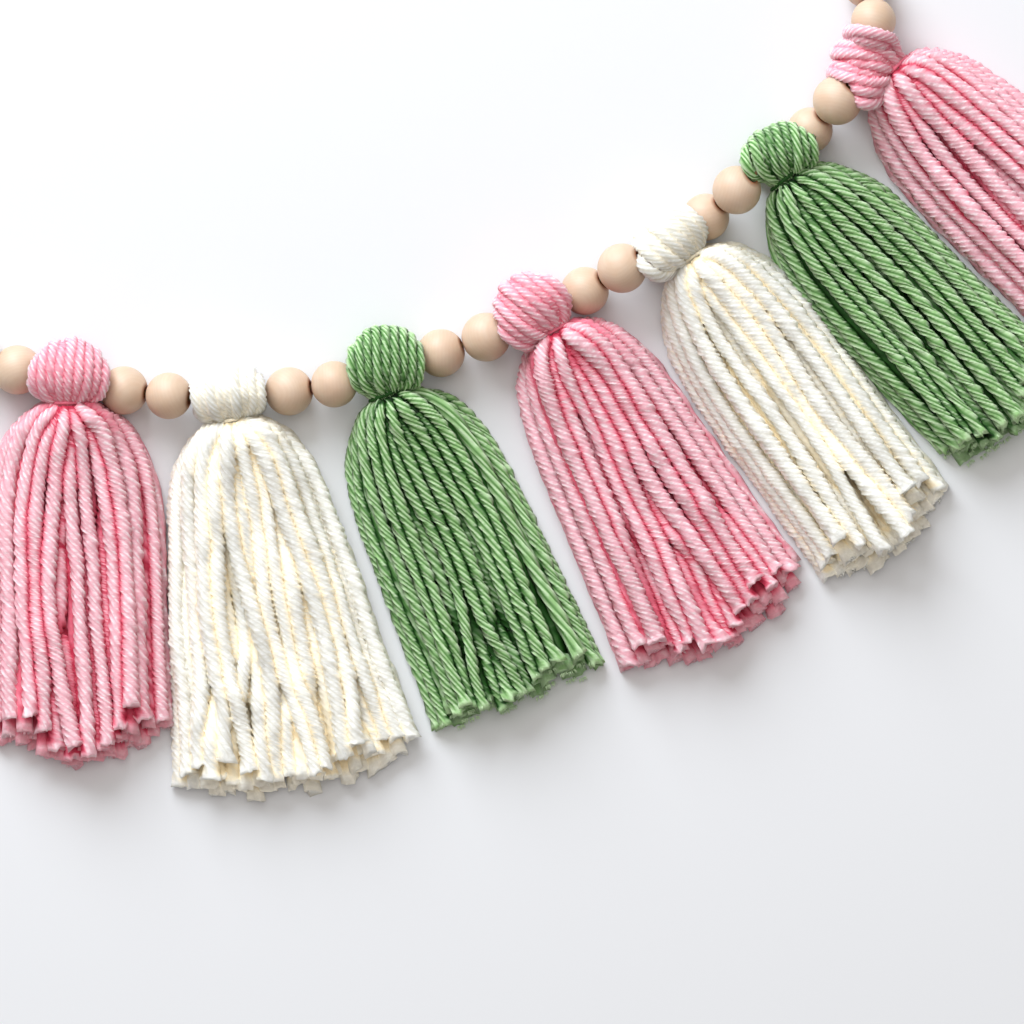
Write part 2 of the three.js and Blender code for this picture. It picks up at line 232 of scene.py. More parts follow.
def make_piece(name, shape, material, nodes):
    """Puts a shape's points, faces, UV map and values into a mesh that rides on the object's one body."""
    quads, tris = shape["quads"], shape["tris"]
    mesh = bpy.data.meshes.new(name)
    mesh.vertices.add(len(shape["points"]))
    mesh.vertices.foreach_set("co", shape["points"].astype(np.float32).ravel())
    mesh.loops.add(quads.size + tris.size)
    mesh.loops.foreach_set("vertex_index", np.concatenate([quads.ravel(), tris.ravel()]).astype(np.int32))
    mesh.polygons.add(len(quads) + len(tris))
    starts = np.concatenate([np.arange(len(quads)) * 4, quads.size + np.arange(len(tris)) * 3])
    mesh.polygons.foreach_set("loop_start", starts.astype(np.int32))
    mesh.polygons.foreach_set("use_smooth", np.ones(len(starts), bool))
    mesh.update(calc_edges=True)
    uv = mesh.uv_layers.new(name="strand")
    corners = np.concatenate([shape["quad_uv"].ravel(), shape["tri_uv"].ravel()])
    uv.uv.foreach_set("vector", corners.astype(np.float32))
    for key, values in shape["values"].items():
        mesh.attributes.new(key, "FLOAT", "POINT").data.foreach_set("value", values.astype(np.float32))
    mesh.materials.append(material)
    piece = put_in_scene(name, mesh)
    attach(piece, "root")
    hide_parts(*nodes)


def new_material(name):
    """A material, its node tree and its shader."""
    material = bpy.data.materials.new(name)
    material.use_nodes = True
    return material, material.node_tree, material.node_tree.nodes["Principled BSDF"]


TUFTS = 750.0  # of fluff, to a metre


def fibre_material(name, colours, glint_size, glint_share, hair_size, relief,
                   fluff=0.0, softness=0.0, depth=1.5 * MM):
    """Spun fibre. From the valley of a ply to its crest the colour runs from the valley colour, a painted
    shade in the groove between plies, over body, the yarn's own dye, and where the glints fall on the crest,
    to the lit colour, a painted highlight. In the crevices between and under strands it runs to the deep and
    deepest colours, painted shade that stands in for the shadow there and the light that has passed through
    more of the dyed fibre. Glints and hairs are stretched noise along the ply; their sizes are repeats to a
    ply's width and to a millimetre of its length. Light goes as deep into the fibre as depth, softness saying
    how much of it does."""
    material, tree, shader = new_material(name)
    valley, body, painted_highlight, painted_shade, painted_deepest_shade = (linear(c) for c in colours)
    crest, crevice, tone = (add(tree, "ShaderNodeAttribute", {"attribute_name": value}).outputs["Fac"]
                            for value in ("crest", "crevice", "tone"))
    place = add(tree, "ShaderNodeUVMap", {"uv_map": "strand"}).outputs["UV"]
    noises = []
    for size, detail, roughness in ((glint_size, 1.5, 0.5), (hair_size, 3.0, 0.6)):
        run = add(tree, "ShaderNodeMapping", Vector=place, Scale=(*size, 1)).outputs["Vector"]
        noises.append(add(tree, "ShaderNodeTexNoise", Vector=run, Scale=1.0, Detail=detail,
                          Roughness=roughness).outputs["Fac"])
    glints, hairs = noises
    object_place = add(tree, "ShaderNodeTexCoord").outputs["Object"]
    tufts = add(tree, "ShaderNodeTexNoise", Vector=object_place, Scale=TUFTS, Detail=2.0,
                Roughness=0.6).outputs["Fac"]
    lit_over = 0.3 * glint_share
    # Masks: rise paints the shade of the ply valleys, top and spread the highlight on the crests, far and
    # furthest the shade in the crevices; worn, vary and soft are the yarn's uneven tone, vary lowered on some
    # heads as painted shade
    rise, top, spread, far, furthest, worn, vary, soft = (
        add(tree, "ShaderNodeMapRange", Value=value, From_Min=low, From_Max=high, To_Min=least,
            To_Max=most).outputs["Result"]
        for value, low, high, least, most in (
            (crest, 0.0, 0.5, 0.0, 1.0),
            (crest, 0.3, 0.8, 0.0, 1.0),
            (glints, 0.58 - lit_over, 0.72 - lit_over, 0.0, 1.0),
            (crevice, 0.0, 0.6, 0.0, 1.0),
            (crevice, 0.6, 1.0, 0.0, 1.0),
            (hairs, 0.3, 0.7, 1 - 0.3 * relief, 1 + 0.1 * relief),
            (tone, 0.0, 1.0, 0.84, 1.02),
            (tufts, 0.3, 0.7, 1 - 0.12 * fluff, 1 + 0.06 * fluff)))
    # Painted highlight where glints fall on a ply's crest
    light = add(tree, "ShaderNodeMath", {"operation": "MULTIPLY"}, in_0=top, in_1=spread).outputs[0]
    colour = add(tree, "ShaderNodeMix", {"data_type": "RGBA"}, in_0=rise, in_6=valley, in_7=body)
    for share, other in ((light, painted_highlight), (far, painted_shade), (furthest, painted_deepest_shade)):
        colour = add(tree, "ShaderNodeMix", {"data_type": "RGBA"}, in_0=share, in_6=colour.outputs[2],
                     in_7=other)
    value = worn
    for factor in (vary, soft):
        value = add(tree, "ShaderNodeMath", {"operation": "MULTIPLY"}, in_0=value, in_1=factor).outputs[0]
    final = add(tree, "ShaderNodeHueSaturation", Color=colour.outputs[2], Value=value).outputs[0]
    puffs = add(tree, "ShaderNodeBump", Height=tufts, Strength=fluff, Distance=0.9 * MM).outputs[0]
    bump = add(tree, "ShaderNodeBump", Height=hairs, Strength=relief, Distance=0.3 * MM,
               Normal=puffs).outputs[0]
    tree.links.new(final, shader.inputs["Base Color"])
    tree.links.new(bump, shader.inputs["Normal"])
    shader.subsurface_method = "BURLEY"
    for socket, value in (("Roughness", 0.6), ("Diffuse Roughness", 0.7), ("Specular IOR Level", 0.3),
                          ("Subsurface Weight", softness), ("Subsurface Radius", (1.0, 1.0, 1.0)),
                          ("Subsurface Scale", depth)):
        shader.inputs[socket].default_value = value
    return material


def middle_of(node):
    """The middle of a CAD node's box."""
    return np.mean([np.array(corner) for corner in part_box(node)], axis=0)


# Bead centres, and the straight run of the string through each pair
bead_middles = np.array([middle_of(f"bead_{n + 1:02d}") for n in range(2 * PAIRS)])
bead_radii = []
for n, middle in enumerate(bead_middles):
    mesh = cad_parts[f"bead_{n + 1:02d}"].data
    corners = np.zeros(len(mesh.vertices) * 3)
    mesh.vertices.foreach_get("co", corners)
    bead_radii.append(np.linalg.norm(corners.reshape(-1, 3) - middle, axis=1).max())
bead_radii = np.array(bead_radii)
firsts, seconds = bead_middles[0::2], bead_middles[1::2]
run_ways = unit(seconds - firsts)
run_starts = firsts - run_ways * bead_radii[0::2, None]
run_ends = seconds + run_ways * bead_radii[1::2, None]


def bend(start, way, end, onward, count=12):
    """A cubic curve with a control point out along each direction, so that it leaves the start along one and
    reaches the end along the other."""
    reach = BEND_REACH * np.linalg.norm(end - start)
    t = np.linspace(0, 1, count)[:, None]
    return ((1 - t) ** 3 * start + 3 * (1 - t) ** 2 * t * (start + way * reach)
            + 3 * (1 - t) * t ** 2 * (end - onward * reach) + t ** 3 * end)


def tail_ends(middle, away):
    """The knot against an end bead, and the cut end on the table beyond it."""
    knot = middle + away * KNOT_FROM_BEAD
    knot[2] = max(knot[2], KNOT_RADIUS + STRING_LIFT)
    level = unit(away * [1, 1, 0])
    end = knot + level * TAIL
    end[2] = STRING_RADIUS + STRING_LIFT
    return knot, end, level


first_knot, first_end, first_level = tail_ends(bead_middles[0], -run_ways[0])
last_knot, last_end, last_level = tail_ends(bead_middles[-1], run_ways[-1])
stretches = [bend(first_end, -first_level, first_knot, run_ways[0])]
for n in range(PAIRS):
    if n:
        low = (run_ends[n - 1] + run_starts[n]) / 2 * [1, 1, 0] + [0, 0, HEAD_STRING_HEIGHT]
        onward = unit((run_starts[n] - run_ends[n - 1]) * [1, 1, 0])
        stretches.append(bend(run_ends[n - 1], run_ways[n - 1], low, onward))
        stretches.append(bend(low, onward, run_starts[n], run_ways[n]))
    here = first_knot if n == 0 else run_starts[n]
    there = last_knot if n == PAIRS - 1 else run_ends[n]
    stretches.append(here + (there - here) * np.linspace(0, 1, 8)[:, None])
stretches.append(bend(last_knot, run_ways[-1], last_end, last_level))
route = np.concatenate([s[:-1] for s in stretches] + [stretches[-1][-1:]])

UPRIGHT = np.array([0, 0, 1.0])
string_rng = np.random.default_rng(3)
string_line = along_line(route[None], STRING_RINGS)
string_run = np.linalg.norm(string_line[0, 1] - string_line[0, 0]) * np.arange(STRING_RINGS)
string_thick = np.full((1, STRING_RINGS), STRING_RADIUS)
string_shapes = [plied(string_line, string_thick, STRING, np.zeros(1), UPRIGHT, string_rng, fray=0.5)]

# An overhand knot drawn tight, as three close turns round the string, largest in the middle
for knot, way in ((first_knot, run_ways[0]), (last_knot, run_ways[-1])):
    side = unit(np.cross(way, UPRIGHT))
    over = np.cross(side, way)
    t = np.linspace(-0.5, 0.5, 90)[:, None]
    turn = 2 * np.pi * KNOT_TURNS * t
    wide = (KNOT_RADIUS - STRING_RADIUS) * (1 - 0.9 * (2 * t) ** 4)
    coil = knot + way * (t * KNOT_LENGTH * MM) + (side * np.cos(turn) + over * np.sin(turn)) * wide
    knot_thick = np.full((1, KNOT_RINGS), STRING_RADIUS)
    string_shapes.append(plied(along_line(coil[None], KNOT_RINGS), knot_thick, STRING, np.zeros(1), way,
                               string_rng))

# Between the beads the string is painted browner than at its tails: painted shade, where beads and heads
# cover it and light does not fall on it
painted_string_shade = smooth(TAIL, 1.5 * TAIL, np.minimum(string_run, string_run[-1] - string_run))
string_shapes[0]["values"]["crevice"][:-2] = np.repeat(painted_string_shade, STRING["plies"] * STRING["per_ply"])
# Valley, deep and deepest are painted shade, lit a painted highlight, body the cotton's own colour
COTTON = ("#D9CBB0", "#EFE6D6", "#F8F1E4", "#B79B74", "#8E7048")  # valley, body, lit, deep and deepest
cotton = fibre_material("spun_cotton_string", COTTON, (1, 0.5), 0.5, (4, 1.2), relief=0.5)
make_piece("cotton_string", joined(string_shapes), cotton, ["string"])

# The beads. Sixteen turned wooden balls of a pale close-grained wood, sanded and left bare, drilled along
# the string. Two sit side by side between neighbouring tassels, each turned its own way on the string.
BORE_RADIUS = 2.1 * MM
RIM_RADIUS = 0.3 * MM  # rounding where the bore comes out
BORE_SHADE_WIDTH = 1.5 * MM  # width of the painted shade round the bore, where two beads meet
RIM_STEPS = 3
BEAD_AROUND = 48
BEAD_ALONG = 26


def lathed_bead(middle, radius, axis, rng):
    """A drilled ball: a profile of the ball's arc, a quarter-round rim and the bore, turned about the bore.
    The grain value is the point's place in the wood, in mm, turned at random."""
    rim = BORE_RADIUS + RIM_RADIUS
    rim_angle = np.arcsin(rim / radius)
    arc = np.linspace(rim_angle, np.pi - rim_angle, BEAD_ALONG)
    profile = [np.stack([radius * np.sin(arc), radius * np.cos(arc)], axis=1)]
    half = radius * np.cos(rim_angle)
    turn = np.linspace(0, np.pi / 2, RIM_STEPS + 1)[1:]
    lower = np.stack([rim - RIM_RADIUS * np.sin(turn), -half + RIM_RADIUS * (1 - np.cos(turn))], axis=1)
    profile += [lower, (lower * [1, -1])[::-1]]
    profile = np.concatenate(profile)
    round_angle = np.linspace(0, 2 * np.pi, BEAD_AROUND, endpoint=False)
    side = unit(np.cross(axis, UPRIGHT))
    over = np.cross(side, axis)
    ring = np.cos(round_angle)[:, None] * side + np.sin(round_angle)[:, None] * over
    points = middle + profile[None, :, :1] * ring[:, None] + profile[None, :, 1:] * axis
    rows = len(profile)
    a, p = np.meshgrid(np.arange(BEAD_AROUND), np.arange(rows), indexing="ij")
    b, q = (a + 1) % BEAD_AROUND, (p + 1) % rows
    quads = np.stack([a * rows + p, a * rows + q, b * rows + q, b * rows + p], axis=-1).reshape(-1, 4)
    turned, _ = np.linalg.qr(rng.normal(size=(3, 3)))
    grain = ((points.reshape(-1, 3) - middle) @ turned.T) / MM + rng.uniform(-40, 40, 3)
    # Painted shade round the bore, for the dark line where two beads meet
    drilled = np.tile(1 - smooth(rim, rim + BORE_SHADE_WIDTH, profile[:, 0]), BEAD_AROUND)
    return {"points": points.reshape(-1, 3), "quads": quads, "quad_uv": np.zeros((len(quads), 4, 2)),
            "tris": np.zeros((0, 3), int), "tri_uv": np.zeros((0, 3, 2)),
            "values": {"grain_x": grain[:, 0], "grain_y": grain[:, 1], "grain_z": grain[:, 2],
                       "drilled": drilled}}


def bare_wood():
    """Pale sanded wood without a finish: faint growth bands, fine pores along the grain, a browner painted
    shade round the bore where two beads meet, and a dull, slightly satin surface. Pattern scales are repeats
    to a millimetre."""
    material, tree, shader = new_material("sanded_bare_wood")
    x, y, z, drilled = (add(tree, "ShaderNodeAttribute", {"attribute_name": value}).outputs["Fac"]
                        for value in ("grain_x", "grain_y", "grain_z", "drilled"))
    place = add(tree, "ShaderNodeCombineXYZ", X=x, Y=y, Z=z).outputs[0]
    long_way = add(tree, "ShaderNodeMapping", Vector=place, Scale=(1.0, 1.0, 0.12)).outputs[0]
    bands = add(tree, "ShaderNodeTexWave", {"wave_type": "RINGS", "rings_direction": "Z"}, Vector=long_way,
                Scale=0.28, Distortion=5.0, Detail=2.0, Detail_Scale=0.6).outputs["Fac"]
    cloud = add(tree, "ShaderNodeTexNoise", Vector=place, Scale=0.12, Detail=2.0).outputs["Fac"]
    pores = add(tree, "ShaderNodeTexNoise", Vector=long_way, Scale=3.2, Detail=3.0,
                Roughness=0.7).outputs["Fac"]
    pore = add(tree, "ShaderNodeMapRange", Value=pores, From_Min=0.6, From_Max=0.78).outputs["Result"]
    colour = add(tree, "ShaderNodeMix", {"data_type": "RGBA"}, in_0=cloud, in_6=linear("#D1B094"),
                 in_7=linear("#DDC7B1"))
    band = add(tree, "ShaderNodeMath", {"operation": "MULTIPLY"}, in_0=bands, in_1=0.12).outputs[0]
    dots = add(tree, "ShaderNodeMath", {"operation": "MULTIPLY"}, in_0=pore, in_1=0.3).outputs[0]
    # Bands and pores are the wood's own colour; the brown round the bore is painted shade
    for share, grain_and_shade_colour in ((band, "#C9A282"), (dots, "#B98C63"), (drilled, "#9C6140")):
        colour = add(tree, "ShaderNodeMix", {"data_type": "RGBA"}, in_0=share, in_6=colour.outputs[2],
                     in_7=linear(grain_and_shade_colour))
    bump = add(tree, "ShaderNodeBump", Height=pores, Strength=0.15, Distance=0.2 * MM).outputs[0]
    tree.links.new(colour.outputs[2], shader.inputs["Base Color"])
    tree.links.new(bump, shader.inputs["Normal"])
    shader.subsurface_method = "BURLEY"
    for socket, value in (("Roughness", 0.5), ("Specular IOR Level", 0.7), ("Subsurface Weight", 0.35),
                          ("Subsurface Radius", (1.0, 0.45, 0.2)), ("Subsurface Scale", 2.5 * MM)):
        shader.inputs[socket].default_value = value
    return material


wood = bare_wood()
bead_rng = np.random.default_rng(16)
for n, (middle, radius) in enumerate(zip(bead_middles, bead_radii)):
    shape = lathed_bead(middle, radius, run_ways[n // 2], bead_rng)
    make_piece(f"turned_bead_{n + 1:02d}", shape, wood, [f"bead_{n + 1:02d}"])

# The tassels. Plied yarn in three colours, folded over the string and tied off under it: the loops over the
# string are the head, and the cut strands below the tie are the skirt. Pink and cream are a soft acrylic
# with a tight twist, green is a cotton with a longer one.
PLIES = {"plies": 6, "per_ply": 2}
YARNS = {
    "pink": {**PLIES, "pitch": 13.5, "relief": 0.25, "pressed": 0.3, "uneven": 0.09, "knobbly": 0.09,
             "flat": 0.88, "radius": 2.45, "loop_radius": 1.95, "ring_every": 0.95},
    "cream": {**PLIES, "pitch": 13.0, "relief": 0.25, "pressed": 0.35, "uneven": 0.09, "knobbly": 0.09,
              "flat": 0.88, "radius": 2.5, "loop_radius": 1.9, "ring_every": 0.95},
    "green": {**PLIES, "pitch": 18.0, "relief": 0.36, "pressed": 0.1, "uneven": 0.12, "knobbly": 0.06,
              "flat": 0.92, "radius": 2.1, "loop_radius": 1.85, "ring_every": 1.3},
}
# Turn is the skirt's direction in degrees from straight down. Head_x and head_y are the head's middle from
# the neck, and wide and long its half sizes. Beside_bead is the bead that lies on the head's side, if any,
# lean is how far the outermost loop leans over that bead, and end_reach how far the outermost loops reach, at
# least, against the middle one. Length runs from the neck to the middle of the hem, and corner is the length
# at the hem's corners against that. The rest is how far the skirt reaches left and right. A tassel's sizes
# are in mm.
TASSEL_COLUMNS = ("yarn", "turn", "head_x", "head_y", "wide", "long", "beside_bead", "lean", "end_reach",
                  "length", "corner", "shoulder_left", "shoulder_right", "hem_left", "hem_right")
TASSELS = [dict(zip(TASSEL_COLUMNS, row)) for row in (
    ("pink",   1.8,   0.7, 11.0, 13.9, 11.0,  0,   0,  0.4, 117.5,  0.9, 29.2, 30.2, 30.8, 31.0),
    ("cream", 10.9,  -1.2,  9.0, 12.7,  9.1,  0,   0,  0.4, 122.0, 0.93, 28.0, 27.2, 43.0, 42.2),
    ("green", 23.2,  -0.6, 11.8, 12.9, 11.9,  0,   0,  0.4, 110.5, 0.97, 26.2, 27.2, 29.6, 30.6),
    ("pink",  28.8,  -9.1,  7.5, 13.4, 11.8,  0,   0,  0.4, 117.0, 0.92, 26.2, 26.2, 35.6, 34.8),
    ("cream", 35.2,  -7.7,  6.3, 12.7,  9.9, 10, 1.4,  0.4, 117.5, 0.92, 27.0, 25.2, 24.8, 25.8),
    ("green", 41.4,  -2.1,  9.1, 12.6,  9.3, 12, 1.7,  0.4, 112.5, 0.93, 25.0, 25.0, 22.0, 28.0),
    ("pink",  45.0, -10.7,  1.5, 13.9, 10.9, 14, 1.3, 0.62, 116.0, 0.92, 26.6, 24.4, 26.4, 28.8),
)]
NECK_HEIGHT = 11.0
NECK_RADIUS = 6.4
NECK_PACKED = 0.46  # a strand's thickness where the tie squeezes it


def to_garland(points, neck, turn):
    """Points in mm in a tassel's own frame, neck over the origin and strands towards -Y, in the object's."""
    c, s = math.cos(math.radians(turn)), math.sin(math.radians(turn))
    x, y, z = points[..., 0], points[..., 1], points[..., 2]
    return np.stack([c * x - s * y, s * x + c * y, z], axis=-1) * MM + neck * [1, 1, 0]


def to_tassel(points, neck, turn):
    """Points in the object's frame, in mm in a tassel's own."""
    c, s = math.cos(math.radians(turn)), math.sin(math.radians(turn))
    x, y, z = ((points - neck * [1, 1, 0]) / MM).T
    return np.stack([c * x + s * y, c * y - s * x, z], axis=-1)


def line_lengths(lines):
    """The length travelled along evenly spaced lines, at each of their points."""
    step = np.linalg.norm(lines[:, 1] - lines[:, 0], axis=-1)
    return step[:, None] * np.arange(lines.shape[1])


PUSH = 0.28  # share of an overlap that is cleared in a round
SMOOTHING = 0.2
LONGEST_MOVE = 0.8  # mm in a round


def eased(lines, radius, held, rounds, pressed, pull, sink, confine):
    """The lines after the yarn along them has settled: where two come closer than the pressed share of both
    their radii, they push each other apart, straight across their direction. Each line stays smooth, is
    pulled back to where it was laid, sinks a little in each round, and goes only where confine allows. Held
    is 0 for points that may not move."""
    laid = lines.copy()
    strands = len(lines)
    apart = (radius[:, None] + radius[None]) * pressed
    apart[np.arange(strands), np.arange(strands)] = 0
    for _ in range(rounds):
        tangent = unit(np.gradient(lines, axis=1))
        gap = lines[:, None] - lines[None]
        way = unit(tangent[:, None] + tangent[None])
        gap = gap - (gap * way).sum(-1, keepdims=True) * way
        distance = np.linalg.norm(gap, axis=-1)
        push = np.maximum(apart - distance, 0) / np.maximum(distance, 1e-6)
        move = PUSH * (gap * push[..., None]).sum(1) + pull * (laid - lines)
        move[..., 2] -= sink
        move[:, 1:-1] += SMOOTHING * (lines[:, :-2] + lines[:, 2:] - 2 * lines[:, 1:-1])
        length = np.linalg.norm(move, axis=-1, keepdims=True)
        lines = lines + move * np.minimum(1, LONGEST_MOVE / np.maximum(length, 1e-9)) * held
        lines = confine(lines)
    return lines


BEAD_GAP = 0.1  # mm between yarn and bead
PRESSED_ON = 0.6  # of its radius, how near a strand's middle comes to a bead that it stands beside


def clear_of(lines, radius, balls, held):
    """Moves points that lie inside a bead out to its surface. Rise is 1 for a bead that the yarn goes over,
    0 for one that it goes round, and -1 where it stands beside the bead's upper half and under the lower."""
    for middle, ball, rise in balls:
        away = lines - middle
        far = np.linalg.norm(away, axis=-1, keepdims=True)
        clear = (ball + (PRESSED_ON if rise < 0 else 1.0) * radius + BEAD_GAP)[..., None]
        way = away / far
        if rise > 0:
            way = unit(way + 1.6 * smooth(-0.7, 0.1, way[..., 2:]) * UPRIGHT)
        elif rise < 0:
            way = np.where(way[..., 2:] > 0, unit(away * [1, 1, 0]), way)
        inward = (away * way).sum(-1, keepdims=True)
        out = np.sqrt(np.maximum(inward ** 2 + clear ** 2 - far ** 2, 0)) - inward
        lines = lines + way * np.where(far < clear, out, 0) * held
    return lines


def closeness(points, lines, radius, own):
    """How close points of the yarn's surface (strand, ring, column) come to another strand: 1 where they
    touch, 0 from four tenths of a radius on. Strands are compared at the same length from their start."""
    nearest = np.full(points.shape[:-1], 9.0)
    tangents = unit(np.gradient(lines, axis=1))
    steps = np.linalg.norm(lines[:, 1] - lines[:, 0], axis=-1)
    rings = lines.shape[1]
    travelled = steps[own][:, None] * np.linspace(0, rings - 1, points.shape[1])
    for n in range(len(lines)):
        at = np.clip(travelled / steps[n], 0, rings - 1)
        low = np.minimum(at.astype(int), rings - 2)
        t = (at - low)[..., None]
        middle = lines[n][low] * (1 - t) + lines[n][low + 1] * t
        way, thick = tangents[n][low][:, :, None], radius[n][low][..., None]
        off = points - middle[:, :, None]
        along = (off * way).sum(-1, keepdims=True)
        beside = np.linalg.norm(off - along * way, axis=-1)
        distance = np.hypot(beside, np.maximum(np.abs(along[..., 0]) - thick, 0)) / thick
        distance[own == n] = 9.0
        nearest = np.minimum(nearest, distance)
    return 1 - smooth(0.95, 1.4, nearest)


def around(tangent, rng):
    """Directions straight out from a strand's own, each at a random angle round it."""
    side = unit(np.cross(tangent, UPRIGHT))
    angle = rng.uniform(0, 2 * np.pi, (len(tangent), 1))
    return np.cos(angle) * side + np.sin(angle) * np.cross(side, tangent)


def fibres(base, first, second, length, thick):
    """Fine fibres: three-sided spikes that leave their base one way and bend another way at half length."""
    count = len(base)
    middle = base + first * length
    tip = middle + second * length
    middle[:, 2] = np.maximum(middle[:, 2], 0.15 * MM)
    tip[:, 2] = np.maximum(tip[:, 2], 0.1 * MM)
    x = unit(np.cross(first, [0.31, 0.52, 0.79]))
    y = np.cross(first, x)
    corners = 2 * np.pi * np.arange(3) / 3
    spoke = np.cos(corners)[:, None] * x[:, None] + np.sin(corners)[:, None] * y[:, None]
    spoke = spoke * thick[:, None]
    points = np.concatenate([base[:, None] + spoke, middle[:, None] + spoke * 0.75, tip[:, None]], axis=1)
    start = 7 * np.arange(count)[:, None, None]
    quads = start + np.array([[0, 1, 4, 3], [1, 2, 5, 4], [2, 0, 3, 5]])
    tris = start + np.array([[0, 2, 1], [3, 4, 6], [4, 5, 6], [5, 3, 6]])
    return {"points": points.reshape(-1, 3), "quads": quads.reshape(-1, 4),
            "quad_uv": np.zeros((3 * count, 4, 2)), "tris": tris.reshape(-1, 3),
            "tri_uv": np.zeros((4 * count, 3, 2)),
            # A fibre's crest value gives it the body colour and its share of the painted highlight
            "values": {"crest": np.full(7 * count, 0.8), "tone": np.full(7 * count, 0.5),
                       "crevice": np.zeros(7 * count)}}


FIBRE_ROOT = 0.7  # of the strand's radius, where a stray fibre leaves its ply


def stray_fibres(lines, radius, count, rng):
    """Fibres that stand off the yarn all along it, leaning along the strand."""
    strand = rng.integers(0, len(lines), count)
    ring = rng.integers(4, lines.shape[1] - 1, count)
    tangent = unit(np.gradient(lines, axis=1))[strand, ring]
    out = around(tangent, rng)
    base = lines[strand, ring] + out * radius[strand, ring][:, None] * FIBRE_ROOT
    first = unit(out + tangent * rng.uniform(-1.2, 1.2, (count, 1)) + rng.normal(0, 0.3, (count, 3)))
    second = unit(first + tangent * rng.uniform(-1, 1, (count, 1)) + rng.normal(0, 0.4, (count, 3)))
    length = rng.uniform(0.4, 1.3, (count, 1)) * MM
    return fibres(base, first, second, length, np.full((count, 1), 0.04 * MM))


def cut_fibres(lines, radius, per_end, rng):
    """The brush of fibres at each strand's cut end."""
    count = len(lines) * per_end
    end = np.repeat(lines[:, -1], per_end, axis=0)
    tangent = np.repeat(unit(lines[:, -1] - lines[:, -4]), per_end, axis=0)
    thick = np.repeat(radius[:, -1], per_end)[:, None]
    out = around(tangent, rng)
    far = 0.6 * np.sqrt(rng.uniform(0.1, 1.1, (count, 1)))
    base = end + out * far * thick - tangent * 1.2 * MM
    base[:, 2] = np.maximum(base[:, 2], 0.15 * MM)
    first = unit(tangent + out * far * 0.5 + rng.normal(0, 0.12, (count, 3)))
    second = unit(first + rng.normal(0, 0.3, (count, 3)))
    length = rng.uniform(0.6, 0.9, (count, 1)) * MM
    return fibres(base, first, second, length, rng.uniform(0.1, 0.22, (count, 1)) * MM)


FLANK_SHADE = 0.35  # of the crevice colour on a strand's lower flanks: painted shade
COVERED_SHADE = 0.75  # and where another strand lies over it: painted shade


def spun(lines, radius, yarn, neck, turn, rng, shown, fray, depth, tone=0.6, under=None, upright=UPRIGHT):
    """Strands in a tassel's frame as plied yarn in the object's frame. Those that don't show have a third of
    the rings and a slower twist. The crevice value, which sets the painted shade, is the largest of depth
    times the closeness to another strand, how far the strand lies under others, and what its lower flanks
    have."""
    phase = rng.uniform(0, 2 * np.pi, len(lines))
    shapes = []
    for chosen, every in ((shown, 1), (~shown, 3)):
        if not chosen.any():
            continue
        some, thick = lines[chosen][:, ::every], radius[chosen][:, ::every]
        kind = dict(yarn)
        if every > 1:
            kind.update(plies=4, per_ply=2, pitch=3.5 * yarn["pitch"], relief=0.12)
        made = plied(to_garland(some, neck, turn), thick * MM, kind, phase[chosen], upright, rng, fray)
        columns = kind["plies"] * kind["per_ply"]
        local = to_tassel(made["points"], neck, turn).reshape(len(some), -1, 3)
        body = local[:, :-2].reshape(len(some), some.shape[1], columns, 3)
        # Painted shade where strands touch, under other strands and on their lower flanks
        close = depth * closeness(body, lines, radius, np.flatnonzero(chosen))
        if under is not None:
            flank = 1 - smooth(0.0, 0.55, (body[..., 2] - some[:, :, None, 2]) / thick[..., None])
            close = np.maximum(close, COVERED_SHADE * under[chosen][:, ::every, None])
            close = np.maximum(close, FLANK_SHADE * flank)
        # Less painted shade at a cut end
        if fray:
            close[:, -2:] *= 0.3
        made["values"]["tone"] = tone + 0.4 * made["values"]["tone"]
        made["values"]["crevice"] = np.concatenate(
            [close.reshape(len(some), -1), np.zeros((len(some), 2))], axis=1).ravel()
        shapes.append(made)
    return shapes


# Valley, body, lit, deep and deepest. Body is the yarn's own dye; valley is painted shade in the grooves
# between plies, lit a painted highlight on the crests, and deep and deepest painted shade in the crevices
# between strands
PINK = ("#EE9FB0", "#F4C2CD", "#FEEBF0", "#EC7A90", "#C93552")
CREAM = ("#D6D2C2", "#E6E6E0", "#F5F6F4", "#FFF6DF", "#FFEEC8")
GREEN = ("#3F8229", "#B2DE9A", "#E2FAD2", "#2A6220", "#0A2005")
YARN_MATERIALS = {
    "pink": fibre_material("plied_acrylic_yarn_pink", PINK, (1.1, 0.75), 0.45, (3.0, 0.6), relief=0.4,
                           fluff=0.3, softness=0.6),
    "cream": fibre_material("plied_acrylic_yarn_cream", CREAM, (1.3, 0.9), 0.45, (3.0, 0.6), relief=0.35,
                            fluff=0.25, softness=0.9, depth=2.6 * MM),
    "green": fibre_material("plied_cotton_yarn_green", GREEN, (0.8, 0.4), 0.75, (3.5, 0.4), relief=0.7,
                            fluff=0.2),
}
necks = np.array([middle_of(f"tie_{n + 1}") for n in range(len(TASSELS))])


def make_yarn_piece(n, name, shape, node):
    """A piece of tassel n, in the place of the CAD node of that kind."""
    yarn = TASSELS[n]["yarn"]
    make_piece(f"{name}_{n + 1}", shape, YARN_MATERIALS[yarn], [f"{node}_{n + 1}"])


def beads_beside(n):
    """The numbers of the beads on both sides of tassel n, and their middles and radii in its own frame."""
    return [(b, to_tassel(bead_middles[b], necks[n], TASSELS[n]["turn"]), bead_radii[b] / MM)
            for b in (2 * n + 1, 2 * n + 2)]


